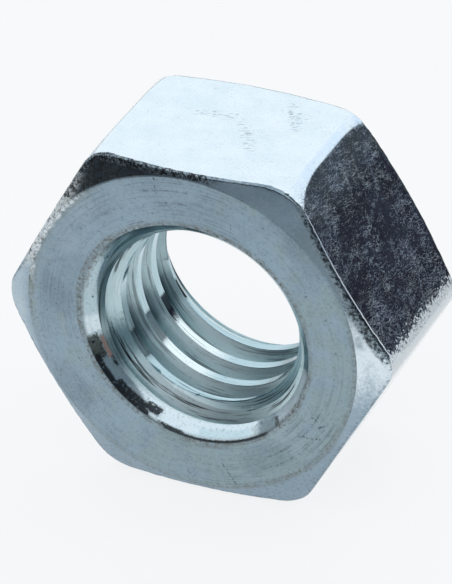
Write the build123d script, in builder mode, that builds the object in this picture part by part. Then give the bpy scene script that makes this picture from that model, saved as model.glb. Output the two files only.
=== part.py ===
from build123d import *
from build123d.topology import SkipClean
from math import ceil, cos, radians, tan
import os

os.makedirs("parts", exist_ok=True)

# Driving dimensions, in millimetres and degrees
across_flats = 13.0
height = 6.5
corner_radius = 1.4
end_face_margin = 0.25
corner_chamfer_angle = 20.0
thread_pitch = 1.25
thread_root_diameter = 8.15
thread_depth = 0.625
thread_angle = 60.0
countersink_diameter = 8.75
countersink_angle = 90.0
groove_offset = 0.06

# Sizes that follow from them
corner_reach = across_flats / 2 / cos(radians(30))
end_face_radius = across_flats / 2 - end_face_margin
corner_chamfer_height = (corner_reach - end_face_radius) * tan(radians(corner_chamfer_angle))
root_radius = thread_root_diameter / 2
crest_radius = root_radius - thread_depth
countersink_depth = (countersink_diameter / 2 - crest_radius) / tan(radians(countersink_angle / 2))

# The thread groove: a flat root an eighth of the pitch wide, opening at the thread angle.
# Its mouth reaches a little inside the bore, so that each turn cuts clean through the wall.
mouth_overlap = thread_depth / 6
mouth_radius = crest_radius - mouth_overlap
half_root = thread_pitch / 16
half_mouth = half_root + (root_radius - mouth_radius) * tan(radians(thread_angle / 2))
turns_each_way = ceil(height / 2 / thread_pitch) + 1
first_groove = turns_each_way * thread_pitch - groove_offset

# The nut is one cold-formed and tapped piece. Its bore lies along Y with the origin at the
# middle, the shown end face looks along -Y, and it stands on one of its six flats.
with BuildPart() as nut:
    # Hexagonal blank with rounded corners
    with BuildSketch(Plane.XZ) as hexagon:
        RegularPolygon(across_flats / 2, 6, major_radius=False)
        fillet(hexagon.vertices(), corner_radius)
    extrude(amount=height / 2, both=True)

    # Corner chamfers, a shallow cone at each end that leaves a round end face
    with BuildSketch(Plane.XY):
        with BuildLine():
            Polyline(
                (0, 0),
                (corner_reach, 0),
                (corner_reach, height / 2 - corner_chamfer_height),
                (end_face_radius, height / 2),
                (0, height / 2),
                close=True,
            )
        make_face()
        mirror(about=Plane.XZ)
    revolve(axis=Axis.Y, mode=Mode.INTERSECT)

    # Countersinks, one at each end of the bore
    with BuildSketch(Plane.XY):
        with BuildLine():
            Polyline(
                (0, height / 2 - countersink_depth),
                (crest_radius, height / 2 - countersink_depth),
                (countersink_diameter / 2, height / 2),
                (0, height / 2),
                close=True,
            )
        make_face()
        mirror(about=Plane.XZ)
    revolve(axis=Axis.Y, mode=Mode.SUBTRACT)

    # From here on faces that could merge are kept apart, so that the crest of the thread
    # stays in strips of a quarter turn, each a plain piece of the bore's cylinder.
    with SkipClean():
        # Bore, opened a quarter at a time
        for quarter in range(4):
            with BuildSketch(Plane.XY.rotated((0, 90 * quarter, 0))):
                Rectangle(crest_radius, height, align=(Align.MIN, Align.CENTER))
            revolve(axis=Axis.Y, revolution_arc=90, mode=Mode.SUBTRACT, clean=False)

        # Right-hand thread, cut one turn at a time from the back of the nut to its front
        for turn in range(2 * turns_each_way):
            centre = first_groove - turn * thread_pitch
            with BuildLine() as turn_path:
                Helix(
                    pitch=thread_pitch,
                    height=thread_pitch,
                    radius=crest_radius,
                    center=(0, centre, 0),
                    direction=(0, -1, 0),
                )
            with BuildSketch(Plane.YZ):
                with BuildLine():
                    Polyline(
                        (centre - half_root, -root_radius),
                        (centre + half_root, -root_radius),
                        (centre + half_mouth, -mouth_radius),
                        (centre - half_mouth, -mouth_radius),
                        close=True,
                    )
                make_face()
            sweep(path=turn_path.line, is_frenet=True, mode=Mode.SUBTRACT, clean=False)

nut.part.label = "nut"
export_step(nut.part, "parts/nut.step")
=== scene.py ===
from math import cos, hypot, pi, radians, sin, tan

import bmesh
import bpy
import numpy as np
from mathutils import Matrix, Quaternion, Vector, noise


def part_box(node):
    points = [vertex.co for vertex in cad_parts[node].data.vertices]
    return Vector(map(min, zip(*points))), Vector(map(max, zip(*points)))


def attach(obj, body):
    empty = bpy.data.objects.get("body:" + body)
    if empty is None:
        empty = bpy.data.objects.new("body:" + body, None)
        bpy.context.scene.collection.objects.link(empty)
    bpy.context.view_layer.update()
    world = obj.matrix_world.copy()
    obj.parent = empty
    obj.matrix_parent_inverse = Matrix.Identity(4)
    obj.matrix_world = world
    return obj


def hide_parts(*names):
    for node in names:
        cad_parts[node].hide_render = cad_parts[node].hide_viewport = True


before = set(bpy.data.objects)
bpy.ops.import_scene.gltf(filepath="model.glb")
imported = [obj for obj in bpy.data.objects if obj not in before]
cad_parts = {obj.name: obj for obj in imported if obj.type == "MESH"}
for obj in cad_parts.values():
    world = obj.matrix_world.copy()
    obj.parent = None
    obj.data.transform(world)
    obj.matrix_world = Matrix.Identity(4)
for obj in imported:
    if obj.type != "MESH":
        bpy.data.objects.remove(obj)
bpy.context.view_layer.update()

# The nut's sizes, in millimetres and degrees, as its source has them
MM = 0.001
LOWEST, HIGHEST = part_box("nut")
ACROSS_FLATS = (HIGHEST.z - LOWEST.z) / MM
HEIGHT = (HIGHEST.y - LOWEST.y) / MM
END_FACE_MARGIN = 0.25
CHAMFER_ANGLE = 20.0
THREAD_PITCH = 1.25
THREAD_ROOT_DIAMETER = 8.15
THREAD_DEPTH = 0.625
THREAD_ANGLE = 60.0
COUNTERSINK_DIAMETER = 8.75
COUNTERSINK_ANGLE = 90.0
GROOVE_OFFSET = 0.06

# Softness of the formed, cut and plated edges. The six corners are crisp at mid-height and
# rounder towards both ends, the more the larger their growth. They are listed by their angle
# round the bore, from the one on the right upwards: 0, 60, 120, 180, 240 and 300 degrees.
CORNER_RADIUS_MIDDLE = 0.48
CORNER_GROWTH_FRONT = (1.9, 2.7, 1.6, 1.6, 1.6, 1.6)
CORNER_GROWTH_BACK = (0.5, 1.15, 1.2, 1.2, 1.2, 1.2)
CORNER_GROWTH_POWER = 4.3
EDGE_SOFTNESS = 0.08
FACE_CIRCLE_EDGE = 0.05
FACE_CIRCLE_SHIFT = 0.12
FACE_CIRCLE_SHIFT_ANGLE = 170.0
COUNTERSINK_EDGE = 0.04
STEEP_SINK_DEPTH = 0.41
STEEP_SINK_SLOPE = 0.58
STEEP_SINK_BEND = 0.03
SHARP_ANGLE = 25.0

# The chamfer's outer edge is softer or crisper near the worn angles, and uneven all round
WORN_EDGES = ((30.0, 0.05), (150.0, 0.18))
WORN_EDGE_SPREAD = 22.0
UNEVENNESS = 0.9
UNEVENNESS_SCALES = (4.5, 9.0)
UNEVENNESS_APART = 9.0

# The burr along that edge is full beside the right flat, and a share of it elsewhere
BURR_HEIGHT = 0.028
BURR_ELSEWHERE = 0.2
BURR_BELOW_EDGE = 0.025
BURR_WIDTH = 0.03
BURR_ANGLE = 30.0
BURR_SPREAD = 36.0
BURR_SPREAD_POWER = 8

# Waves of the outer skin as scale and height, and the width over which they set in
SKIN_WAVES = ((0.5, 0.012), (2.1, 0.003))
SKIN_WAVES_FADE = 0.4

# Sizes that follow from them
HALF = HEIGHT / 2
FLAT = ACROSS_FLATS / 2
END_FACE_RADIUS = FLAT - END_FACE_MARGIN
ROOT_RADIUS = THREAD_ROOT_DIAMETER / 2
CREST_RADIUS = ROOT_RADIUS - THREAD_DEPTH
HALF_ROOT = THREAD_PITCH / 16
COUNTERSINK_RADIUS = COUNTERSINK_DIAMETER / 2
COUNTERSINK_SLOPE = tan(radians(COUNTERSINK_ANGLE / 2))
THREAD_END = HALF - (COUNTERSINK_RADIUS - ROOT_RADIUS) / COUNTERSINK_SLOPE

# Mesh fineness. Columns crowd towards the corners, and rows of the flats towards the chamfer.
COLUMNS_PER_FLAT = 84
COLUMN_CROWDING = 0.06
ROWS_PER_EDGE = 4
ROWS_PER_FACE = 10
ROWS_PER_CHAMFER = 8
ROWS_PER_HALF_FLAT = 21
FLAT_ROW_CROWDING = 1.7
ROWS_PER_THREAD_FACE = 4
CHAMFER_EDGE_REPEATS = 8
SAME_PLACE = 0.0005

# Camera, at the photograph's viewing angle
VIEW_AZIMUTH = 25.59
VIEW_ELEVATION = 32.21
VIEW_ROLL = -2.32
VIEW_DISTANCE = 0.1672
VIEW_RIGHT = -0.000203
VIEW_UP = -0.000120
LENS = 291.56
SENSOR = 36.0


def towards(azimuth, elevation):
    """A direction from the nut. Azimuth 0 is in front of the shown end face, 90 to its right."""
    a = radians(azimuth)
    e = radians(elevation)
    return Vector((sin(a) * cos(e), -cos(a) * cos(e), sin(e)))


def place_camera():
    """The camera of the photograph, worked out from the nut's outline and its thread."""
    back = towards(VIEW_AZIMUTH, VIEW_ELEVATION)
    turn = (-back).to_track_quat("-Z", "Y") @ Quaternion((0, 0, 1), radians(VIEW_ROLL))
    camera = bpy.data.objects.new("camera", bpy.data.cameras.new("camera"))
    camera.data.lens = LENS
    camera.data.sensor_width = SENSOR
    camera.data.clip_start = 0.01
    camera.data.clip_end = 10.0
    camera.rotation_mode = "QUATERNION"
    camera.rotation_quaternion = turn
    camera.location = back * VIEW_DISTANCE + turn @ Vector((VIEW_RIGHT, VIEW_UP, 0))
    bpy.context.scene.collection.objects.link(camera)
    bpy.context.scene.camera = camera


# The nut's form

def column_angles():
    """Angles round the bore of the mesh's columns, closer together near the six corners."""
    share = np.arange(COLUMNS_PER_FLAT) / COLUMNS_PER_FLAT
    crowded = share - COLUMN_CROWDING * np.sin(2 * pi * share)
    sector = 60 * np.arange(6)[:, None]
    return np.radians((sector + 60 * crowded[None, :]).ravel())


def hexagon_reach(angle, corner_radius):
    """Distance from the bore's axis to the hexagon with rounded corners, at an angle round it."""
    from_flat = np.abs((angle - pi / 2 + pi / 6) % (pi / 3) - pi / 6)
    from_corner = pi / 6 - from_flat
    flat = FLAT / np.cos(from_flat)
    centre = (FLAT - corner_radius) / cos(pi / 6)
    inside = np.maximum(corner_radius**2 - (centre * np.sin(from_corner)) ** 2, 0)
    rounded = centre * np.cos(from_corner) + np.sqrt(inside)
    arc_begins = np.arctan(tan(pi / 6) * (1 - corner_radius / FLAT))
    return np.where(from_flat < arc_begins, flat, rounded)


def corner_radius_at(angle, height):
    """Radius of the nearest corner at a height, more than the middle's towards both ends."""
    corner = np.round(np.degrees(angle) / 60).astype(int) % 6
    front = np.array(CORNER_GROWTH_FRONT)[corner]
    back = np.array(CORNER_GROWTH_BACK)[corner]
    share = np.clip(np.abs(height) / HALF, 0, 1)
    return CORNER_RADIUS_MIDDLE + np.where(height < 0, front, back) * share**CORNER_GROWTH_POWER


def chamfer_edge(angle, circle_reach, side):
    """Where the chamfer meets the flats and corners: the distance from the axis and the height
    above mid-height. Side is -1 at the front of the nut and 1 at its back. The corners change
    with height, so the edge is worked out again until it settles."""
    height = HALF
    for repeat in range(CHAMFER_EDGE_REPEATS):
        reach = hexagon_reach(angle, corner_radius_at(angle, side * height))
        height = HALF - (reach - circle_reach) * tan(radians(CHAMFER_ANGLE))
    return reach, height


def edge_softness(angles, side):
    """How far the chamfer's outer edge is rounded: unevenly, and more where it is worn."""
    softness = EDGE_SOFTNESS * np.ones_like(angles)
    for worn_angle, worn_softness in WORN_EDGES:
        aside = (np.degrees(angles) - worn_angle) / WORN_EDGE_SPREAD
        softness += (worn_softness - EDGE_SOFTNESS) * np.exp(-aside * aside)
    unevenness = []
    for angle in angles:
        place = Vector((cos(angle), sin(angle), 0)) * FLAT + Vector((0, 0, side * UNEVENNESS_APART))
        unevenness.append(sum(noise.noise(place * scale) * 0.5 for scale in UNEVENNESS_SCALES))
    return softness * (1 + UNEVENNESS * np.array(unevenness))


def burr_at(angles, below_edge):
    """How far the burr stands out of the flats, at a distance below the chamfer's outer edge."""
    aside = (np.degrees(angles) - BURR_ANGLE) / BURR_SPREAD
    share = BURR_ELSEWHERE + (1 - BURR_ELSEWHERE) * np.exp(-(aside**BURR_SPREAD_POWER))
    from_ridge = (below_edge - BURR_BELOW_EDGE) / BURR_WIDTH
    return BURR_HEIGHT * share * np.exp(-(from_ridge**2))


def straight(start, end, count):
    """Rows from one point of the section to the next, without the last one."""
    return [start + (end - start) * step / count for step in range(count)]


def bend(before, corner, after, size):
    """Rows round one soft corner of the section, and the points where it begins and ends."""
    back = before - corner
    ahead = after - corner
    begin = corner + back * size / np.linalg.norm(back, axis=0)
    end = corner + ahead * size / np.linalg.norm(ahead, axis=0)
    rows = []
    for step in range(ROWS_PER_EDGE):
        share = step / ROWS_PER_EDGE
        rows.append(begin * (1 - share) ** 2 + corner * 2 * share * (1 - share) + end * share**2)
    return begin, rows, end


def half_section(angles, side):
    """Rows from the countersink's foot over one end face to mid-height, as distances from the
    axis and from mid-height, with the name of the surface that each row begins."""
    ones = np.ones_like(angles)
    circle_reach = END_FACE_RADIUS + FACE_CIRCLE_SHIFT * np.cos(angles - radians(FACE_CIRCLE_SHIFT_ANGLE))
    edge_reach, edge_height = chamfer_edge(angles, circle_reach, side)
    foot = np.array([ones * ROOT_RADIUS, ones * THREAD_END])
    rim = np.array([ones * COUNTERSINK_RADIUS, ones * HALF])
    circle = np.array([circle_reach, ones * HALF])
    edge = np.array([edge_reach, edge_height])
    middle = np.array([edge_reach, ones * 0])
    rim_begin, rim_rows, rim_end = bend(foot, rim, circle, COUNTERSINK_EDGE)
    circle_begin, circle_rows, circle_end = bend(rim, circle, edge, FACE_CIRCLE_EDGE)
    edge_begin, edge_rows, edge_end = bend(circle, edge, middle, edge_softness(angles, side))
    parts = [
        ("bore", straight(foot, rim_begin, ROWS_PER_EDGE)),
        ("end_face", rim_rows),
        ("end_face", straight(rim_end, circle_begin, ROWS_PER_FACE)),
        ("end_face", circle_rows),
        ("chamfer", straight(circle_end, edge_begin, ROWS_PER_CHAMFER)),
        ("chamfer", edge_rows),
    ]
    rows = [(name, row) for name, group in parts for row in group]
    for step in range(ROWS_PER_HALF_FLAT + 1):
        height = edge_end[1] * (1 - (step / ROWS_PER_HALF_FLAT) ** FLAT_ROW_CROWDING)
        softened = hexagon_reach(angles, corner_radius_at(angles, side * height))
        rows.append(("flats", np.array([softened + burr_at(angles, edge_end[1] - height), height])))
    return rows


def soft_larger(first, second, softness):
    """The larger of two values, with a rounded change from one to the other."""
    return (first + second + np.sqrt((first - second) ** 2 + softness**2)) / 2


def countersink_reach(height):
    """Distance from the axis to the countersink, which grows steeper down in the bore."""
    depth = HALF - np.abs(height)
    outer = COUNTERSINK_RADIUS - depth * COUNTERSINK_SLOPE
    inner = COUNTERSINK_RADIUS - STEEP_SINK_DEPTH * COUNTERSINK_SLOPE
    inner = inner - (depth - STEEP_SINK_DEPTH) * STEEP_SINK_SLOPE
    return soft_larger(outer, inner, STEEP_SINK_BEND)


def thread_reach(from_groove):
    """Distance from the axis to the thread, at a distance along the bore from a groove."""
    aside = np.abs((from_groove + THREAD_PITCH / 2) % THREAD_PITCH - THREAD_PITCH / 2)
    flank = ROOT_RADIUS - (aside - HALF_ROOT) / tan(radians(THREAD_ANGLE / 2))
    return np.clip(flank, CREST_RADIUS, ROOT_RADIUS)


def rows_along_pitch():
    """Rows of one pitch of the thread, from groove to groove, with one on each of its edges."""
    crest = HALF_ROOT + THREAD_DEPTH * tan(radians(THREAD_ANGLE / 2))
    edges = [HALF_ROOT, crest, THREAD_PITCH - crest, THREAD_PITCH - HALF_ROOT]
    rows = [0]
    for start, end in zip(edges, edges[1:]):
        rows += list(np.linspace(start, end, ROWS_PER_THREAD_FACE, endpoint=False))
    return np.array(rows + [THREAD_PITCH - HALF_ROOT])


def snap_rows(height, groove):
    """Slides rows along the bore onto the lines where the thread runs out in a countersink."""
    gap = thread_reach(height - groove) - countersink_reach(height)
    change = gap[:-1] - gap[1:]
    share = gap[:-1] / np.where(change == 0, 1, change)
    meets = gap[:-1] * gap[1:] < 0
    meeting = height[:-1] + share * (height[1:] - height[:-1])
    snapped = height.copy()
    nearer_first = meets & (share < 0.5)
    nearer_second = meets & (share >= 0.5)
    snapped[:-1][nearer_first] = meeting[nearer_first]
    snapped[1:][nearer_second] = meeting[nearer_second]
    return snapped


def bore_grid(angles, steps):
    """Points of the threaded wall. The rows run along the thread, and are cut off at its ends."""
    groove = -GROOVE_OFFSET - THREAD_PITCH * (np.degrees(angles) - 270) / 360
    first = (-THREAD_END - groove.max()) / THREAD_PITCH
    last = (THREAD_END - groove.min()) / THREAD_PITCH
    turns = range(int(np.floor(first)) - 1, int(np.ceil(last)) + 1)
    along = np.concatenate([turn * THREAD_PITCH + steps for turn in turns])
    height = np.clip(groove[None, :] + along[:, None], -THREAD_END, THREAD_END)
    height = snap_rows(height, groove[None, :])
    radius = np.maximum(thread_reach(height - groove[None, :]), countersink_reach(height))
    ends = np.abs(height) >= THREAD_END
    return np.where(ends, ROOT_RADIUS, radius), height


def to_points(angles, radius, height):
    """Places in space of a grid of radii and heights."""
    return np.stack([radius * np.cos(angles), height, radius * np.sin(angles)], axis=-1)


def strip_faces(first, rows, columns, kinds, drop=0):
    """Faces between neighbouring rows of a grid that closes on itself, after drop rows."""
    faces = []
    for row in range(rows - 1):
        for column in range(columns):
            beside = (column + 1) % columns
            lower = row - drop if beside == 0 else row
            if lower < 0:
                continue
            faces.append(((
                first + row * columns + column,
                first + lower * columns + beside,
                first + (lower + 1) * columns + beside,
                first + (row + 1) * columns + column,
            ), kinds[row]))
    return faces


KINDS = ["end_face", "chamfer", "flats", "bore"]


def nut_mesh():
    """The nut's skin as one closed mesh, with a finish for each kind of surface."""
    angles = column_angles()
    columns = len(angles)
    half = half_section(angles, -1)
    back_half = half_section(angles, 1)[-2::-1]
    radius = np.array([row[0] for name, row in half + back_half])
    height = np.array([-row[1] for name, row in half] + [row[1] for name, row in back_half])
    outside = to_points(angles[None, :], radius, height)
    steps = rows_along_pitch()
    bore_radius, bore_height = bore_grid(angles, steps)
    inside = to_points(angles[None, :], bore_radius, bore_height)
    names = [name for name, row in half[:-1]]
    kinds = [KINDS.index(name) for name in names + names[::-1]]
    threaded = [KINDS.index("bore")] * len(inside)
    faces = strip_faces(0, len(outside), columns, kinds)
    faces += strip_faces(len(outside) * columns, len(inside), columns, threaded, len(steps))
    points = np.concatenate([outside.reshape(-1, 3), inside.reshape(-1, 3)]) * MM
    mesh = bpy.data.meshes.new("nut_body")
    mesh.from_pydata(points.tolist(), [], [corners for corners, kind in faces])
    mesh.polygons.foreach_set("material_index", [kind for corners, kind in faces])
    mesh.polygons.foreach_set("use_smooth", [True] * len(faces))
    close_skin(mesh)
    mesh.set_sharp_from_angle(angle=radians(SHARP_ANGLE))
    return mesh


def close_skin(mesh):
    """Joins the grids where they meet, roughens the skin, and prints how it came out."""
    skin = bmesh.new()
    skin.from_mesh(mesh)
    bmesh.ops.remove_doubles(skin, verts=skin.verts, dist=SAME_PLACE * MM)
    bmesh.ops.dissolve_degenerate(skin, edges=skin.edges, dist=SAME_PLACE * MM)
    loose = [vertex for vertex in skin.verts if not vertex.link_faces]
    bmesh.ops.delete(skin, geom=loose, context="VERTS")
    bmesh.ops.recalc_face_normals(skin, faces=skin.faces)
    roughen(skin)
    open_edges = sum(len(edge.link_faces) != 2 for edge in skin.edges)
    triangles = sum(len(face.verts) - 2 for face in skin.faces)
    volume = skin.calc_volume(signed=True) / MM**3
    print(f"nut mesh: {triangles} triangles, {open_edges} open edges, {volume:.1f} cubic mm")
    skin.to_mesh(mesh)
    skin.free()


def roughen(skin):
    """Moves the outer skin a few microns in and out, as forming and plating leave it."""
    begins = END_FACE_RADIUS - SKIN_WAVES_FADE
    for vertex in skin.verts:
        place = vertex.co / MM
        reach = hypot(place.x, place.z)
        if reach < begins:
            continue
        share = min(1.0, (reach - begins) / SKIN_WAVES_FADE)
        waves = sum(noise.noise(place * scale) * height for scale, height in SKIN_WAVES)
        vertex.co += vertex.normal * MM * waves * share


# Finishes

class Wire:
    """A socket of a node tree, with the sums that a finish is written in."""

    def __init__(self, nodes, socket):
        self.nodes = nodes
        self.socket = socket

    def maths(self, operation, *others):
        inputs = dict(enumerate((self, *others)))
        return self.nodes.wire("ShaderNodeMath", {"operation": operation}, inputs)

    def __add__(self, other):
        return self.maths("ADD", other)

    def __radd__(self, other):
        return self.maths("ADD", other)

    def __sub__(self, other):
        return self.maths("SUBTRACT", other)

    def __rsub__(self, other):
        return (self * -1).maths("ADD", other)

    def __mul__(self, other):
        return self.maths("MULTIPLY", other)

    def __rmul__(self, other):
        return self.maths("MULTIPLY", other)

    def __truediv__(self, other):
        return self.maths("DIVIDE", other)

    def __pow__(self, other):
        return self.maths("POWER", other)

    def __abs__(self):
        return self.maths("ABSOLUTE")

    def at_least(self, other):
        return self.maths("MAXIMUM", other)

    def at_most(self, other):
        return self.maths("MINIMUM", other)

    def between(self, low, high):
        """0 at low, 1 at high, and a smooth change between them. Low may be the larger."""
        return self.nodes.wire("ShaderNodeMapRange", {"interpolation_type": "SMOOTHSTEP"}, {
            "Value": self,
            "From Min": min(low, high),
            "From Max": max(low, high),
            "To Min": float(low > high),
            "To Max": float(low < high),
        }, "Result")

    def within(self, low, high, softness):
        """1 from low to high and 0 outside, with soft ends."""
        rise = self.between(low - softness, low + softness)
        return rise * self.between(high + softness, high - softness)


class Nodes:
    """The node tree of a material or a world, written as Python."""

    def __init__(self, owner):
        owner.use_nodes = True
        self.tree = owner.node_tree
        self.tree.nodes.clear()

    def add(self, kind, settings, inputs):
        """One node of a kind. Its settings are set first, then its inputs, by name or place,
        each to a wire, a number or a colour."""
        node = self.tree.nodes.new(kind)
        for name, value in settings.items():
            setattr(node, name, value)
        for name, value in inputs.items():
            if isinstance(value, Wire):
                self.tree.links.new(value.socket, node.inputs[name])
            else:
                node.inputs[name].default_value = value
        return node

    def wire(self, kind, settings, inputs, output=0):
        """One output of a new node."""
        return Wire(self, self.add(kind, settings, inputs).outputs[output])

    def place(self):
        """Where a point of the nut lies, in millimetres."""
        metres = self.wire("ShaderNodeTexCoord", {}, {}, "Object")
        return self.wire("ShaderNodeVectorMath", {"operation": "SCALE"}, {0: metres, "Scale": 1 / MM})

    def split(self, vector):
        node = self.add("ShaderNodeSeparateXYZ", {}, {0: vector})
        return [Wire(self, node.outputs[axis]) for axis in "XYZ"]

    def join(self, x, y, z):
        return self.wire("ShaderNodeCombineXYZ", {}, {0: x, 1: y, 2: z})

    def moved(self, vector, shift):
        """A vector with a fixed shift added, for another stretch of the same noise."""
        return self.wire("ShaderNodeVectorMath", {"operation": "ADD"}, {0: vector, 1: shift})

    def dot(self, vector, direction):
        settings = {"operation": "DOT_PRODUCT"}
        return self.wire("ShaderNodeVectorMath", settings, {0: vector, 1: tuple(direction)}, "Value")

    def grain(self, vector, scale, detail=2.0, roughness=0.5, distortion=0.0):
        """Cloudy noise from 0 to 1."""
        inputs = {"Vector": vector, "Scale": scale, "Detail": detail}
        inputs |= {"Roughness": roughness, "Distortion": distortion}
        return self.wire("ShaderNodeTexNoise", {}, inputs)

    def stretched(self, place, direction, width, length):
        """A place measured in widths across a direction and in lengths along it."""
        along = Vector(direction).normalized()
        across = along.orthogonal().normalized()
        aside = along.cross(across)
        return self.join(
            self.dot(place, across / width), self.dot(place, aside / width), self.dot(place, along / length)
        )

    def lines(self, place, direction, width, length):
        """Noise that is drawn out along one direction, from 0 to 1."""
        return self.grain(self.stretched(place, direction, width, length), 1.0, 1.0)

    def blend(self, share, first, second):
        """The first colour where share is 0 and the second where it is 1."""
        settings = {"data_type": "RGBA"}
        return self.wire("ShaderNodeMix", settings, {0: share, 6: first, 7: second}, 2)

    def coats(self, tint, layers):
        """A colour with others laid over it in turn, each given as its share and its colour."""
        for share, layer in layers:
            tint = self.blend(share, tint, layer)
        return tint


def colour(red, green, blue):
    return (red, green, blue, 1.0)


BRIGHT_ZINC = colour(0.79, 0.87, 0.92)
CLOUDY_ZINC = colour(0.72, 0.82, 0.88)
SCUFFED_ZINC = colour(0.36, 0.42, 0.48)
DULL_ZINC = colour(0.285, 0.385, 0.46)
DULLER_ZINC = colour(0.235, 0.32, 0.385)
OLIVE_ZINC = colour(0.27, 0.36, 0.375)
CHAMFER_ZINC = colour(0.36, 0.45, 0.52)
# Pale zinc, which also paints highlights on stretches of the thread's crests and grooves
CREST_HIGHLIGHT_AND_PALE_ZINC = colour(0.80, 0.91, 0.94)
DULL_CREST_ZINC = colour(0.46, 0.62, 0.68)
THREAD_ZINC = colour(0.56, 0.72, 0.76)
SINK_ZINC = colour(0.44, 0.57, 0.63)
FELT_ZINC = colour(0.54, 0.70, 0.93)
# Near white, for worn edges that are painted as glints
WORN_GLINT_ZINC = colour(0.90, 0.97, 1.00)
GRIME = colour(0.022, 0.027, 0.034)
OLIVE_GRIME = colour(0.085, 0.090, 0.070)
# Dark teal painted on the thread as shade
PAINTED_THREAD_SHADE = colour(0.115, 0.20, 0.235)
BROWN_STAIN = colour(0.195, 0.228, 0.232)
DARK_STAIN = colour(0.10, 0.084, 0.068)
OLIVE_STAIN = colour(0.30, 0.33, 0.26)
RUST = colour(0.38, 0.225, 0.185)


def zinc(name, layout):
    """A material of bare zinc with its dirt. The layout gives its colour, its roughness, its
    relief in millimetres and how metallic it is, worked out on the material's own nodes."""
    material = bpy.data.materials.new(name)
    nodes = Nodes(material)
    tint, roughness, relief, metal = layout(nodes, nodes.place())
    bump = nodes.wire("ShaderNodeBump", {}, {"Height": relief, "Distance": MM, "Strength": 1.0})
    inputs = {"Base Color": tint, "Metallic": metal, "Roughness": roughness, "Normal": bump}
    shader = nodes.wire("ShaderNodeBsdfPrincipled", {}, inputs)
    nodes.add("ShaderNodeOutputMaterial", {}, {"Surface": shader})
    return material


class Spot:
    """A point of the nut as it lies round the bore: its reach from the bore's axis, its
    direction as two numbers and in degrees, and its height along the bore. Degrees run from 90
    at the top by the left to 450."""

    def __init__(self, nodes, place):
        x, y, z = nodes.split(place)
        self.reach = (x * x + z * z) ** 0.5
        self.east = x / self.reach
        self.north = z / self.reach
        self.height = y
        self.angle = self.east.maths("ARCTAN2", self.north * -1) * (180 / pi) + 270

    def facing(self, angle, half_width, softness):
        """1 within half_width degrees of a direction round the bore and 0 outside, softly."""
        lined_up = self.east * cos(radians(angle)) + self.north * sin(radians(angle))
        return lined_up.between(cos(radians(half_width + softness)), cos(radians(half_width - softness)))

    def face_circle(self):
        """Distance from the bore's axis to the circle that bounds the end face."""
        shift = radians(FACE_CIRCLE_SHIFT_ANGLE)
        return END_FACE_RADIUS + FACE_CIRCLE_SHIFT * (self.east * cos(shift) + self.north * sin(shift))

    def turning(self, nodes, across, round_it, detail, roughness):
        """Noise drawn out round the bore, as turning leaves it, from 0 to 1."""
        place = nodes.join(self.reach * across, self.east * round_it, self.north * round_it)
        return nodes.grain(place, 1.0, detail, roughness)


def scratches(across, along, pairs, width):
    """1 on straight scratches between pairs of points of a surface, and 0 beside them."""
    cover = 0
    for start, end in pairs:
        run = Vector(end) - Vector(start)
        share = (across - start[0]) * (run.x / run.length_squared)
        share = (share + (along - start[1]) * (run.y / run.length_squared)).at_least(0).at_most(1)
        gap_across = across - start[0] - share * run.x
        gap_along = along - start[1] - share * run.y
        gap = (gap_across * gap_across + gap_along * gap_along) ** 0.5
        cover = gap.between(width, width * 0.3) + cover
    return cover


# Softness of a patch's ends, in degrees, and of its edges, in millimetres
PATCH_ENDS = 1.2
PATCH_EDGES = 0.025


def patches(angle, reach, spans):
    """1 inside patches that are given as spans of degrees round the bore and of reach."""
    cover = 0
    for turn_span, reach_span in spans:
        patch = angle.within(*turn_span, PATCH_ENDS) * reach.within(*reach_span, PATCH_EDGES)
        cover = patch.at_least(cover)
    return cover


# The end face. Its directions are given in degrees round the bore, with half their width and
# their softness, and its scratches, smudges and drip as pairs of points (x, z) in millimetres.
TURNED_ABOVE = (92, 30, 30)
TURNED_BELOW = (312, 30, 25)
RIM_BROWN_ABOVE = (75, 60, 8)
OUTSIDE_BROWN = (328, 50, 14)
OUTSIDE_OLIVE = (157, 27, 12)
OUTSIDE_PALE = (184, 16, 8)
# The end face's worn outer edge on the upper left, painted bright as a glint
OUTSIDE_WORN_GLINT = (150, 16, 8)
FACE_SCRATCH_WIDTH = 0.045
FACE_SCRATCHES = [
    ((0.90, -5.17), (1.67, -6.35)),
    ((4.11, -3.27), (4.72, -3.24)),
    ((4.44, -2.39), (4.80, -2.55)),
    ((4.60, -2.80), (4.92, -2.66)),
    ((-1.24, 6.10), (-1.21, 5.75)),
]
CLOUD_WIDTH = 0.75
FACE_SMUDGES = [
    ((-5.50, 0.80), (-4.95, 0.05)),
    ((-5.10, -2.85), (-4.50, -3.80)),
    ((2.10, -4.90), (3.20, -4.20)),
    ((4.00, 4.50), (4.70, 3.80)),
]
FACE_PALE_CLOUDS = [
    ((-5.00, 3.30), (-4.70, 2.75)),
    ((3.30, -3.30), (3.60, -3.70)),
    ((-4.40, 4.10), (-4.05, 4.40)),
]
OLD_DRIP_WIDTH = 0.22
OLD_DRIP = [((-5.15, -0.35), (-5.05, -1.10))]
# Turning marks that stand out, as spans of degrees and of reach
FACE_ARCS = [
    ((85, 108), (5.735, 5.765)),
    ((77, 104), (5.255, 5.285)),
    ((296, 330), (5.60, 5.62)),
    ((300, 338), (5.20, 5.22)),
]
# Browner patches and a dark line along the countersink's rim, as spans of degrees and of reach
RIM_STAINS = [
    ((132, 170), (4.30, 4.60)),
    ((166, 196), (4.30, 4.53)),
    ((198, 246), (4.30, 4.52)),
    ((262, 284), (4.40, 4.66)),
    ((284, 307), (4.30, 4.54)),
    ((316, 352), (4.30, 4.50)),
]
RIM_LINE = [((252, 308), (4.30, 4.43))]


def clouds(x, z, pairs):
    """1 on soft clouds about a millimetre wide round lines between pairs of points."""
    cover = 0
    for pair in pairs:
        cover = scratches(x, z, [pair], CLOUD_WIDTH).at_least(cover)
    return cover


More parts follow.
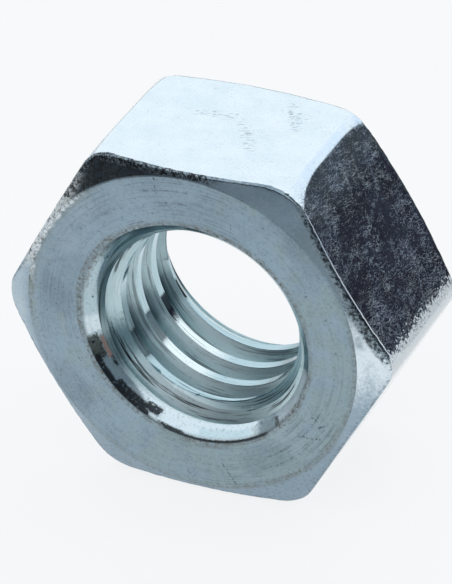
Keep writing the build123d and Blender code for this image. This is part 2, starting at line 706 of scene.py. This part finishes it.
def turning_marks(nodes, place, spot):
    """The end face's fine marks as noise, its few dark ones, and where both stand out."""
    fine_arcs = spot.turning(nodes, 26, 2.2, 2.0, 0.6)
    arcs = spot.turning(nodes, 15, 1.7, 2.0, 0.55)
    turned = spot.facing(*TURNED_ABOVE) + spot.facing(*TURNED_BELOW)
    turned = (0.25 + turned * 0.75) * nodes.grain(place, 1.3, 3.0).between(0.36, 0.56)
    return fine_arcs, arcs.between(0.63, 0.70) * turned, turned


def face_stain(spot, warp):
    """Where the end face is stained brown, along the countersink's rim and its own circle."""
    from_rim = spot.reach - COUNTERSINK_RADIUS
    rim = (from_rim + warp * 0.30).between(0.22, 0.06)
    browner = patches(spot.angle + warp * 20, spot.reach + warp * 0.25, RIM_STAINS)
    over_top = spot.facing(*RIM_BROWN_ABOVE) * (from_rim + warp * 0.4).between(0.24, 0.10)
    outer = (spot.face_circle() - spot.reach + warp * 0.40).between(0.22, 0.02)
    outer = outer * (0.20 + spot.facing(*OUTSIDE_BROWN) * 0.55)
    return (rim * 0.6 + browner * 0.9 + over_top * 0.6 + outer).at_most(1)


def turned_end_face(nodes, place):
    """Dull, finely turned, with brown stains along both rims, a few scratches, and a worn edge painted
    bright as a glint.
    """
    spot = Spot(nodes, place)
    cloud = nodes.grain(place, 0.55, 5.0, 0.62)
    blotch = nodes.grain(nodes.moved(place, (5.1, 0.0, 2.7)), 0.9, 5.0, 0.68)
    fine = nodes.grain(place, 10.0, 3.0, 0.7)
    crumbs = nodes.grain(place, 8.0, 4.0, 0.75)
    mottle = nodes.grain(nodes.moved(place, (8.2, 2.6, 1.1)), 8.5, 4.0, 0.72).between(0.42, 0.58)
    specks = nodes.grain(nodes.moved(place, (1.7, 6.2, 3.3)), 9.0, 2.0, 0.5).between(0.68, 0.76)
    fine_arcs, dark_arcs, turned = turning_marks(nodes, place, spot)

    warp = crumbs - 0.5
    from_circle = spot.face_circle() - spot.reach
    stained = face_stain(spot, warp)
    olive = (blotch + (spot.east - spot.north) * 0.09).between(0.44, 0.66)
    outer_olive = spot.facing(*OUTSIDE_OLIVE) * (from_circle + warp * 0.5).between(0.34, 0.06)
    outer_pale = spot.facing(*OUTSIDE_PALE) * (from_circle + warp * 0.5).between(0.55, 0.0)
    # Worn edge along the outer circle on the upper left, painted bright as a glint
    worn = spot.facing(*OUTSIDE_WORN_GLINT) * (from_circle + (blotch - 0.5) * 0.8).between(0.18, 0.04)
    dark_crumbs = stained * crumbs.between(0.50, 0.62) * (0.4 + mottle * 0.6)
    dark_crumbs = dark_crumbs.at_least(outer_olive * crumbs.between(0.50, 0.60) * 0.8)

    front = (spot.height * -1).between(HALF - 0.5, HALF - 0.2)
    uneven = front * (0.4 + blotch * 1.2)
    wander = (nodes.grain(place, 3.0) - 0.5) * 0.12
    x = spot.reach * spot.east + wander
    z = spot.reach * spot.north - wander
    scratched = scratches(x, z, FACE_SCRATCHES, FACE_SCRATCH_WIDTH) * front * fine.between(0.42, 0.60)
    deep_arcs = patches(spot.angle, spot.reach + warp * 0.04, FACE_ARCS) * front * fine.between(0.38, 0.55)
    rim_line = patches(spot.angle, spot.reach + warp * 0.08, RIM_LINE) * front
    old_drip = scratches(x, z, OLD_DRIP, OLD_DRIP_WIDTH) * front * crumbs.between(0.35, 0.6)
    olive_stain = outer_olive * (0.05 + mottle * 0.5) + old_drip * mottle * 0.6
    dirt = specks * 0.55 + dark_arcs * 0.5 + deep_arcs * 0.7 + scratched * 0.6 + rim_line * 0.8

    tint = nodes.coats(DULLER_ZINC, [
        (cloud.between(0.36, 0.64), DULL_ZINC),
        (olive * 0.8, OLIVE_ZINC),
        (fine_arcs.between(0.62, 0.40) * 0.22, CHAMFER_ZINC),
        (clouds(x, z, FACE_SMUDGES) * uneven * 0.16, GRIME),
        (clouds(x, z, FACE_PALE_CLOUDS) * uneven * 0.35, CHAMFER_ZINC),
        (outer_pale * 0.45, CHAMFER_ZINC),
        (olive_stain.at_most(1), OLIVE_STAIN),
        (fine.between(0.50, 0.75) * 0.32, GRIME),
        (fine.between(0.45, 0.30) * 0.3, CHAMFER_ZINC),
        (fine_arcs.between(0.52, 0.68) * (0.06 + turned * 0.2), GRIME),
        (stained * (0.15 + mottle * 0.8), BROWN_STAIN),
        (stained * fine.between(0.46, 0.36) * 0.5, CHAMFER_ZINC),
        # worn edge painted bright as a glint
        (worn * 0.85, BRIGHT_ZINC),
        (dark_crumbs * 0.9, DARK_STAIN),
        (dirt.at_most(1), GRIME),
    ])
    roughness = 0.26 + cloud * 0.12 + dark_arcs * 0.1
    relief = fine_arcs * 0.0015 + fine * 0.003 - scratched * 0.006 + dark_crumbs * 0.004
    return tint, roughness, relief, 1.0


def edge_crumbs(nodes, place):
    """Noise of the grit that runs over the edge between the chamfer and the flats."""
    return nodes.grain(nodes.moved(place, (4.4, 9.1, 2.3)), 8.0, 4.0, 0.75)


def below_flats(nodes, place):
    """How far a point lies inside the nearest of the six flats."""
    gap = abs(nodes.dot(place, (0, 0, 1)))
    for angle in (30, 150):
        way = (cos(radians(angle)), 0, sin(radians(angle)))
        gap = gap.at_least(abs(nodes.dot(place, way)))
    return FLAT - gap


# The chamfer, as directions with half their width and softness, and as spans of degrees
# Where the chamfer's outer edge is worn, and painted white as a glint
CHAMFER_WORN_GLINT = (147, 18, 6)
CHAMFER_BROWNED = (110, 27, 5)
# The chamfer's lower side, painted darker as shade, where its brown stains and specks also gather
CHAMFER_SHADED_SIDE = (280, 50, 10)
# The left side of the chamfer, painted paler as a highlight
CHAMFER_LEFT_HIGHLIGHT = (181, 14, 9)
# The upper right of the chamfer, painted a little darker as shade
UPPER_CHAMFER_SHADE = (58, 18, 8)
CHAMFER_RIGHT = (365, 412, 4)
CHAMFER_GRITTY = (364, 382, 3)
# The chamfer at the right corner, painted paler as a highlight between these spans
CORNER_HIGHLIGHT_RISES = (342, 362)
CORNER_HIGHLIGHT_FALLS = (364, 388)


def formed_chamfer(nodes, place):
    """Smooth forged cone, cloudy and stained, with grit and worn spots along its outer edge; the worn spots
    are painted white as glints, and painted shade and highlights lie by direction.
    """
    spot = Spot(nodes, place)
    cloud = nodes.grain(place, 1.0, 4.0, 0.6)
    fine = nodes.grain(place, 9.0, 4.0, 0.7)
    crumbs = edge_crumbs(nodes, place)
    warp = fine - 0.5
    angle = spot.angle + warp * 30
    from_edge = below_flats(nodes, place) + warp * 0.22
    past_circle = spot.reach - spot.face_circle() + warp * 0.30

    front = spot.height.between(0.5, -0.5)
    right = angle.within(*CHAMFER_RIGHT)
    top = spot.facing(*CHAMFER_BROWNED) * front
    # The lower side: painted shade there, and its brown stain and specks
    low = spot.facing(*CHAMFER_SHADED_SIDE)
    inner = low * past_circle.between(0.20, 0.02)
    # The worn edge on the upper left, painted white and hardly metallic as a glint
    worn = spot.facing(*CHAMFER_WORN_GLINT) * from_edge.between(0.42, 0.24)
    grit = from_edge.between(0.14, 0.04) * 0.3 + right * from_edge.between(0.20, 0.10)
    grit = grit + angle.within(*CHAMFER_GRITTY) * from_edge.between(0.40, 0.24)
    grit = (grit + top * from_edge.between(0.30, 0.12)).at_most(1) * (0.3 + front * 0.7)
    # A pale patch at the right corner, painted as a highlight
    corner = angle.between(*CORNER_HIGHLIGHT_RISES) * angle.between(*reversed(CORNER_HIGHLIGHT_FALLS))
    corner = corner * (1 - grit) * cloud.between(0.2, 0.5)
    # The left side painted paler towards the flats, as a highlight
    pale = spot.facing(*CHAMFER_LEFT_HIGHLIGHT) * (0.3 + fine * 0.35) * past_circle.between(0.0, 0.5)
    browned = top * (0.25 + crumbs.between(0.42, 0.60) * 0.5)
    specks = crumbs.between(0.52, 0.66) * (0.15 + low * 0.2 + inner * 0.3 + grit * 0.5)
    black = grit * crumbs.between(0.44, 0.56) * 0.9 + worn * crumbs.between(0.51, 0.60) * 0.8

    tint = nodes.coats(DULL_ZINC, [
        (cloud.between(0.3, 0.7), CHAMFER_ZINC),
        # painted shade on the lower side
        (low * 0.7, DULLER_ZINC),
        # painted shade towards the upper right
        (spot.facing(*UPPER_CHAMFER_SHADE) * 0.13, GRIME),
        (fine.between(0.46, 0.34) * low * 0.4, CHAMFER_ZINC),
        (inner * 0.7, BROWN_STAIN),
        (right * 0.4, BROWN_STAIN),
        # painted highlights at the right corner and on the left side
        ((corner + pale * 0.6).at_most(1), CLOUDY_ZINC),
        # worn edge painted white as a glint
        (worn, WORN_GLINT_ZINC),
        ((browned + specks).at_most(1), DARK_STAIN),
        (black.at_most(1), GRIME),
    ])
    roughness = 0.15 + cloud * 0.12 + grit * fine.between(0.5, 0.62) * 0.25
    relief = fine * (0.002 + (grit + worn).at_most(1) * 0.02) + cloud * 0.004
    return tint, roughness, relief, 1 - (browned * 0.10 + worn * 0.9).at_most(1)


# Long scratches on the right flat, along it and across it, in millimetres from its middle
RIGHT_FLAT_ANGLE = radians(30)
RIGHT_FLAT_SCRATCH_WIDTH = 0.06
RIGHT_FLAT_SCRATCHES = [
    ((2.62, 1.96), (0.28, 1.33)),
    ((2.05, 1.88), (1.53, 1.70)),
    ((-1.12, 1.59), (-2.58, 0.87)),
    ((1.95, -2.44), (1.80, -1.90)),
    ((1.80, -1.90), (1.73, -1.15)),
]
# Scuffs on the top flat, from left to right and from front to back
TOP_FLAT_SCUFF_WIDTH = 0.34
TOP_FLAT_SCUFFS = [
    ((1.53, 2.42), (2.29, 0.86)),
    ((1.48, 2.03), (2.28, 1.74)),
    ((0.45, 0.55), (1.30, -0.83)),
    ((-1.30, 0.75), (0.10, 1.00)),
]
# Directions in which the felt of fine scratches, the rubs and the scuffs run
FELT_RUN = (0.165, 0.944, -0.286)
RUB_RUN = (0.5, 1.0, 0.6)
CROSS_RUB_RUN = (0.9, -0.5, 0.3)
SCUFF_RUN = (1.0, 0.5, 0.0)


def scratch_felt(nodes, place, along):
    """A felt of fine curls, hairs and dust, stronger in some places and high on the right."""
    where = nodes.grain(place, 1.0, 4.0, 0.65).between(0.36, 0.66)
    strokes = nodes.stretched(place, FELT_RUN, 0.6, 1.05)
    curls = abs(nodes.grain(strokes, 2.4, 3.0, 0.55, 1.2) - 0.5).between(0.022, 0.0)
    curls = curls * (0.35 + where * 0.65)
    hairs = abs(nodes.grain(nodes.moved(strokes, (7.3, 1.9, 4.1)), 4.6, 2.0, 0.5, 1.0) - 0.5)
    hairs = hairs.between(0.026, 0.0) * nodes.grain(place, 2.6, 3.0, 0.6).between(0.40, 0.58)
    dust = nodes.grain(strokes, 9.0, 3.0, 0.6, 0.6).between(0.53, 0.68)
    strength = 0.75 + along.between(0.5, 2.8) * 0.25 + where * 0.3
    return (curls * 0.45 + hairs * 0.4 + dust * 0.5) * strength


def formed_flats(nodes, place):
    """Bright rolled flats with a felt of fine scratches, which shows where they look dark."""
    x, y, z = nodes.split(place)
    reach = (x * x + z * z) ** 0.5
    along = z * cos(RIGHT_FLAT_ANGLE) - x * sin(RIGHT_FLAT_ANGLE)
    outwards = x * cos(RIGHT_FLAT_ANGLE) + z * sin(RIGHT_FLAT_ANGLE)
    on_right_flat = outwards.between(FLAT - 0.2, FLAT - 0.1)
    on_top = z.between(FLAT - 0.2, FLAT - 0.1)
    cloud = nodes.grain(place, 1.1, 4.0, 0.6)
    haze = nodes.grain(nodes.moved(place, (2.2, 5.9, 0.7)), 0.8, 4.0, 0.6)
    crumbs = edge_crumbs(nodes, place)
    wander = (nodes.grain(place, 2.0, 2.0) - 0.5) * 0.25

    rubs = nodes.lines(place, RUB_RUN, 0.045, 0.8).between(0.66, 0.80)
    cross_rubs = nodes.lines(place, CROSS_RUB_RUN, 0.04, 0.5).between(0.67, 0.80)
    scratched = scratches(along + wander, y + wander, RIGHT_FLAT_SCRATCHES, RIGHT_FLAT_SCRATCH_WIDTH)
    scratched = scratched * on_right_flat * nodes.grain(place, 6.0, 2.0).between(0.35, 0.6)
    worn = scratch_felt(nodes, place, along) + rubs * 0.25 + cross_rubs * 0.2
    worn = (worn + scratched * 0.7).at_most(1) * (1 - on_top * 0.6)
    scuffs = scratches(x + wander, y - wander, TOP_FLAT_SCUFFS, TOP_FLAT_SCUFF_WIDTH) * on_top
    scuffs = scuffs * nodes.lines(place, SCUFF_RUN, 0.06, 0.20).between(0.54, 0.66)
    faint = abs(nodes.grain(place, 2.3, 3.0, 0.6, 0.6) - 0.5).between(0.016, 0.0)
    faint = faint * nodes.grain(nodes.moved(place, (3.1, 8.2, 5.5)), 1.1, 2.0).between(0.50, 0.66)

    # A strip by the right corner, painted white and hardly metallic: a painted highlight
    corner = (along + (crumbs - 0.5) * 2.2).between(-3.15, -3.35) * x.between(FLAT - 1.5, FLAT - 1.2)
    under_chamfer = HALF - (reach - END_FACE_RADIUS) * tan(radians(CHAMFER_ANGLE)) - abs(y)
    grit = (under_chamfer + (crumbs - 0.5) * 0.4).between(0.13, 0.02) * crumbs.between(0.47, 0.56)
    grit = grit * (1 - on_top * y.between(0, 1) * 0.9)
    ridge = under_chamfer.between(0.10, 0.05) * on_right_flat
    bluish = haze.between(0.4, 0.6) * on_right_flat

    tint = nodes.coats(CLOUDY_ZINC, [
        (cloud.between(0.3, 0.7), BRIGHT_ZINC),
        ((worn * 0.8 + bluish * 0.4).at_most(1), FELT_ZINC),
        ((scuffs * 0.7 + faint * 0.4 + rubs * 0.12).at_most(1), SCUFFED_ZINC),
        (ridge * (0.25 + crumbs.between(0.42, 0.60) * 0.6), SCUFFED_ZINC),
        (grit * 0.8, DARK_STAIN),
        # painted highlight by the right corner
        (corner, WORN_GLINT_ZINC),
    ])
    roughness = 0.08 + cloud * 0.04 + worn * 0.14
    relief = worn * 0.002 + cloud * 0.008 + grit * 0.01 + corner * 0.004
    dull = worn * 0.16 + bluish * 0.02
    return tint, roughness, relief, 1 - (dull + corner * 0.9).at_most(1)


# The bore. Stretches of the thread are spans of degrees round the bore with their softness,
# and its crests and turns are spans of millimetres in front of mid-height.
# Crests painted bright over this stretch: a painted highlight
CREST_HIGHLIGHT_SPAN = (219, 258, 9)
# Painted shade on the first crest over this span, and on all crests past the next span
FIRST_CREST_SHADE = (180, 204, 10)
CREST_SHADE_SETS_IN = (284, 308)
CLOUDY_FIRST_CREST = (204, 224, 6)
CLOUDY_SECOND_CREST = (205, 225, 4)
# Grooves painted bright over this span: a painted highlight
GROOVE_HIGHLIGHT = (228, 272, 16)
# Painted shade in the grooves over this span, and faintly from the top round to the left, fading out
# between 176 and 186 degrees
SHADED_GROOVE_SPAN = (198, 216, 5)
GROOVE_SHADE_FADES = (176, 186)
# Painted shade on the steep part of the countersink over this span
STEEP_SINK_SHADE = (150, 188, 8)
# Painted shade on a turn of the thread near the front, over this span and place
TURN_SHADE = (196, 214, 10)
TURN_SHADE_PLACE = (1.35, 2.25, 0.1)
FIRST_CREST_PLACE = (1.2, 2.1, 0.1)
SECOND_CREST_PLACE = (-0.1, 1.0, 0.1)
FIRST_TURN_BEGINS = (0.9, 1.7)
# Patches of the countersinks, as spans of degrees round the bore and of reach. Grime, rust and
# the cloudy patch are in the shown one alone.
SINK_GRIME = [
    ((205, 224), (4.20, 4.45)),
    ((221, 243), (4.08, 4.45)),
    ((239, 248), (3.99, 4.23)),
    ((195.5, 209), (3.84, 3.92)),
    ((208, 215), (3.84, 4.00)),
    ((249, 262), (4.28, 4.45)),
    ((256, 308), (4.33, 4.45)),
    ((314.5, 316.5), (4.10, 4.36)),
]
OLIVE_BLOCK = [((194.5, 208), (4.05, 4.36))]
RUST_STREAK = [((197, 209.5), (3.91, 4.03))]
BRIGHT_SINK = [((184, 193.5), (3.80, 4.30)), ((228, 303), (3.80, 4.45)), ((316, 352), (3.96, 4.45))]
BLUE_SINK = [((269, 298), (4.08, 4.30))]
BROWN_SINK = [((299, 316), (4.06, 4.40))]
CLOUDY_SINK = [((304, 352), (3.96, 4.45))]
SPECKLED_SINK = [((130, 168), (4.22, 4.45)), ((168, 184), (4.30, 4.45)), ((316, 350), (4.28, 4.45))]


class BoreSpot(Spot):
    """A point of the bore, with the surfaces that it lies on and the noises of its finish."""

    def __init__(self, nodes, place):
        super().__init__(nodes, place)
        forward = self.height * -1
        depth = HALF - abs(self.height)
        steep = COUNTERSINK_RADIUS - STEEP_SINK_DEPTH + (STEEP_SINK_DEPTH - depth) * STEEP_SINK_SLOPE
        self.on_sink = (self.reach + depth - COUNTERSINK_RADIUS).between(0.045, 0.025)
        self.on_shown_sink = self.on_sink * forward.between(HALF - 1.3, HALF - 1.1)
        self.on_steep_sink = abs(self.reach - steep).between(0.05, 0.03) * (1 - self.on_sink)
        self.in_groove = self.reach.between(CREST_RADIUS + 0.01, CREST_RADIUS + 0.03)
        self.first_turn = forward.between(*FIRST_TURN_BEGINS)
        self.first_crest = forward.within(*FIRST_CREST_PLACE) * (1 - self.in_groove)
        self.second_crest = forward.within(*SECOND_CREST_PLACE) * (1 - self.in_groove)
        self.fine = nodes.grain(place, 8.0, 4.0, 0.65)
        self.crumbs = nodes.grain(place, 8.0, 5.0, 0.75)
        self.rings = self.turning(nodes, 13, 1.5, 3.0, 0.65)
        self.tool = tool_marks(nodes, self)
        self.warp = self.crumbs - 0.5
        self.warped_angle = self.angle + self.warp * 12
        self.warped_reach = self.reach + self.warp * 0.16
        # Where a turn of the thread near the front is painted as shade
        self.shaded_turn = self.warped_angle.within(*TURN_SHADE) * forward.within(*TURN_SHADE_PLACE)


def tool_marks(nodes, spot):
    """Noise drawn out along the thread, as the tap leaves it, from 0 to 1."""
    turn = (spot.height / THREAD_PITCH + spot.angle / 360) * (2 * pi)
    along = spot.east * 1.2 + spot.height * 0.5
    return nodes.wire("ShaderNodeTexNoise", {"noise_dimensions": "4D"}, {
        "Vector": nodes.join(turn.maths("COSINE") * 3.2, turn.maths("SINE") * 3.2, along),
        "W": spot.north * 1.2,
        "Scale": 1.0,
        "Detail": 3.0,
        "Roughness": 0.7,
    })


def thread_colour(nodes, spot):
    """Zinc of the thread, with painted highlights and painted shade by stretches, and the tap's dark marks.
    """
    # Painted highlight: the crests are painted bright over one stretch, away from the first turn
    crest_highlight = spot.angle.within(*CREST_HIGHLIGHT_SPAN) * (1 - spot.first_turn) * spot.height.between(1.7, 1.2)
    # Painted shade: the first crest on the left and the crests low on the right are painted dark
    shaded_crests = spot.first_crest * spot.angle.within(*FIRST_CREST_SHADE) * 0.8
    shaded_crests = shaded_crests + spot.angle.between(*CREST_SHADE_SETS_IN) * 0.7
    # Painted shade in the grooves: dark over one span, and faintly from the top round to the left
    shaded_grooves = (spot.angle + spot.warp * 8).within(*SHADED_GROOVE_SPAN) * 0.6
    shaded_grooves = shaded_grooves + spot.angle.between(*reversed(GROOVE_SHADE_FADES)) * 0.15
    # The tap's dark marks are stronger in the grooves, on the first turn and on the turn painted as shade
    scored = 0.28 + spot.in_groove * 0.27 + spot.first_turn * 0.3 + spot.shaded_turn * 0.5
    return nodes.coats(DULL_CREST_ZINC, [
        # painted highlight on the crests
        (crest_highlight, CREST_HIGHLIGHT_AND_PALE_ZINC),
        # painted shade on the crests
        (shaded_crests.at_most(1), PAINTED_THREAD_SHADE),
        (spot.in_groove, THREAD_ZINC),
        # painted highlight in the grooves, low down left of the bottom
        (spot.in_groove * spot.angle.within(*GROOVE_HIGHLIGHT) * 0.8, CREST_HIGHLIGHT_AND_PALE_ZINC),
        # painted shade in the grooves
        (spot.in_groove * shaded_grooves, PAINTED_THREAD_SHADE),
        # painted shade on the steep part of the countersink, on the left
        (spot.on_steep_sink * spot.angle.within(*STEEP_SINK_SHADE) * 0.75, PAINTED_THREAD_SHADE),
        # painted shade on that turn
        (spot.shaded_turn * 0.85, PAINTED_THREAD_SHADE),
        (spot.tool.between(0.54, 0.62) * scored.at_most(1), GRIME),
        (spot.tool.between(0.42, 0.34) * spot.in_groove * 0.5, CREST_HIGHLIGHT_AND_PALE_ZINC),
        (spot.fine.between(0.58, 0.72) * 0.3, OLIVE_GRIME),
    ])


def countersink_colour(nodes, spot):
    """Zinc of the countersinks, with bright, bluish and brown patches and a darker rim."""
    bright = patches(spot.warped_angle, spot.reach, BRIGHT_SINK)
    blue = patches(spot.warped_angle, spot.warped_reach, BLUE_SINK)
    brown = patches(spot.warped_angle, spot.warped_reach, BROWN_SINK)
    speckled = patches(spot.warped_angle, spot.warped_reach, SPECKLED_SINK)
    rim = (COUNTERSINK_RADIUS - spot.reach + spot.warp * 0.25).between(0.14, 0.02)
    return nodes.coats(SINK_ZINC, [
        (bright * 0.72, CLOUDY_ZINC),
        (blue * 0.6, DULL_CREST_ZINC),
        (brown * 0.35 + speckled * spot.crumbs.between(0.44, 0.56) * 0.8, BROWN_STAIN),
        (spot.rings.between(0.50, 0.70) * 0.25, DULLER_ZINC),
        ((spot.fine.between(0.52, 0.66) * 0.3 + rim * 0.5).at_most(1), BROWN_STAIN),
    ])


def cut_bore(nodes, place):
    """The thread with its tool marks, and the countersinks with grime low on their left."""
    spot = BoreSpot(nodes, place)
    cloud = nodes.grain(place, 1.4, 4.0, 0.6)
    olive = patches(spot.angle + spot.warp * 9, spot.warped_reach, OLIVE_BLOCK) * spot.on_shown_sink
    grime = patches(spot.warped_angle, spot.warped_reach, SINK_GRIME) * spot.on_shown_sink
    grime = grime * spot.crumbs.between(0.66, 0.56)
    rust = patches(spot.warped_angle, spot.warped_reach, RUST_STREAK) * spot.on_shown_sink
    dirty = (grime + olive + rust).at_most(1)
    clean_zinc = nodes.blend(spot.on_sink, thread_colour(nodes, spot), countersink_colour(nodes, spot))
    tint = nodes.coats(clean_zinc, [
        (olive * spot.crumbs.between(0.60, 0.42), GRIME),
        (olive * spot.crumbs.between(0.42, 0.60), OLIVE_GRIME),
        (grime * 0.95, GRIME),
        (rust * (0.6 + spot.fine * 0.5).at_most(1), RUST),
    ])
    on_thread = 1 - spot.on_sink
    roughness = 0.05 + cloud * 0.05 + spot.in_groove * 0.30 * on_thread
    roughness = roughness + spot.on_sink * 0.08 + dirty * 0.15
    relief = spot.tool * (0.001 + spot.in_groove * 0.003) * on_thread
    relief = relief + spot.rings * spot.on_sink * 0.002 + spot.fine * 0.001
    cloudy = spot.first_crest * spot.angle.within(*CLOUDY_FIRST_CREST) * 0.8
    cloudy = cloudy + spot.second_crest * spot.angle.within(*CLOUDY_SECOND_CREST) * 0.75
    cloudy_sink = patches(spot.warped_angle, spot.reach, CLOUDY_SINK) * spot.on_shown_sink * 0.6
    return tint, roughness, relief, 1 - (rust * 0.9).at_least(cloudy.at_least(cloudy_sink))


def add_nut():
    mesh = nut_mesh()
    layouts = {
        "end_face": turned_end_face,
        "chamfer": formed_chamfer,
        "flats": formed_flats,
        "bore": cut_bore,
    }
    for kind in KINDS:
        mesh.materials.append(zinc("zinc_" + kind, layouts[kind]))
    nut = bpy.data.objects.new("nut_body", mesh)
    bpy.context.scene.collection.objects.link(nut)
    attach(nut, "root")
    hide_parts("nut")


# Studio

FLOOR_RADIUS = 0.08
FLOOR_SEGMENTS = 128
FLOOR_CENTRE = Vector((-0.030, 0.035, 0))
FLOOR_GAP = 0.015
FLOOR_PAINT = colour(0.13, 0.13, 0.13)
FLOOR_LIGHT = colour(0.98, 0.99, 1.0)
FLOOR_GLOW = 0.84
DOME_LEAN = Vector((-0.207, 0.339, 0.919))
DOME_FADE = (0.321, 0.356)
DOME_LIGHT = colour(1.02, 1.07, 1.10)
ROOM_DARK = colour(0.045, 0.052, 0.060)
BACKDROP = colour(0.93, 0.94, 0.95)

# Cards round the nut: distance from its middle, azimuth at both ends, height of the lower edge
# at both ends and of the upper edge, and tone. Lengths are in millimetres.
CARD_STEPS = 24
CARDS = {
    "low_front_card": (25.0, (-14, 26), (-6.4, -6.4), 5.3, colour(0.60, 0.66, 0.70)),
    "high_front_card": (25.0, (-14, 26), (5.3, 5.3), 11.0, colour(0.42, 0.46, 0.49)),
    "left_card": (25.0, (-125, -58), (-6.4, -6.4), 4.5, colour(0.50, 0.56, 0.60)),
    "right_card": (20.0, (66, 150), (-4.0, 1.5), 6.0, colour(0.014, 0.014, 0.024)),
    "front_right_card": (20.0, (30, 66), (-2.0, 0.0), 16.0, colour(0.24, 0.28, 0.31)),
}


def add_floor():
    """A plain pale table top under the nut, which glows softly like a light table. It lies a
    hair below the CAD's lowest flat, because the nut's skin is a few microns uneven."""
    mesh = bpy.data.meshes.new("floor")
    disc = bmesh.new()
    bmesh.ops.create_circle(disc, cap_ends=True, segments=FLOOR_SEGMENTS, radius=FLOOR_RADIUS)
    disc.to_mesh(mesh)
    disc.free()
    floor = bpy.data.objects.new("floor", mesh)
    floor.location = FLOOR_CENTRE + Vector((0, 0, LOWEST.z - FLOOR_GAP * MM))
    bpy.context.scene.collection.objects.link(floor)
    material = bpy.data.materials.new("floor")
    nodes = Nodes(material)
    inputs = {"Base Color": FLOOR_PAINT, "Roughness": 1.0, "Specular IOR Level": 0.0}
    inputs |= {"Emission Color": FLOOR_LIGHT, "Emission Strength": FLOOR_GLOW}
    shader = nodes.wire("ShaderNodeBsdfPrincipled", {}, inputs)
    nodes.add("ShaderNodeOutputMaterial", {}, {"Surface": shader})
    mesh.materials.append(material)


def add_card(name, radius, azimuths, bottoms, top, tone):
    """A curved card round the nut that shows only in its reflections, as a studio's flags do.
    Its lower edge runs from one height to another. All lengths are in millimetres."""
    points = []
    for step in range(CARD_STEPS + 1):
        share = step / CARD_STEPS
        way = towards(azimuths[0] + (azimuths[1] - azimuths[0]) * share, 0) * radius * MM
        bottom = (bottoms[0] + (bottoms[1] - bottoms[0]) * share) * MM
        points += [(way.x, way.y, bottom), (way.x, way.y, top * MM)]
    faces = [(2 * step, 2 * step + 2, 2 * step + 3, 2 * step + 1) for step in range(CARD_STEPS)]
    mesh = bpy.data.meshes.new(name)
    mesh.from_pydata(points, [], faces)
    material = bpy.data.materials.new(name)
    nodes = Nodes(material)
    glow = nodes.wire("ShaderNodeEmission", {}, {"Color": tone, "Strength": 1.0})
    nodes.add("ShaderNodeOutputMaterial", {}, {"Surface": glow})
    mesh.materials.append(material)
    card = bpy.data.objects.new(name, mesh)
    card.visible_camera = False
    card.visible_diffuse = False
    card.visible_shadow = False
    bpy.context.scene.collection.objects.link(card)


def set_world():
    """A soft bright dome that leans from the back left, in a dark room with a pale backdrop."""
    world = bpy.data.worlds.new("studio")
    bpy.context.scene.world = world
    nodes = Nodes(world)
    way = nodes.wire("ShaderNodeTexCoord", {}, {}, "Generated")
    light = nodes.blend(nodes.dot(way, DOME_LEAN).between(*DOME_FADE), ROOM_DARK, DOME_LIGHT)
    seen = nodes.wire("ShaderNodeLightPath", {}, {}, "Is Camera Ray")
    background = nodes.wire("ShaderNodeBackground", {}, {"Color": nodes.blend(seen, light, BACKDROP)})
    nodes.add("ShaderNodeOutputWorld", {}, {"Surface": background})


place_camera()
add_nut()
add_floor()
for card_name, card_layout in CARDS.items():
    add_card(card_name, *card_layout)
set_world()
bpy.context.scene.view_settings.view_transform = "Standard"
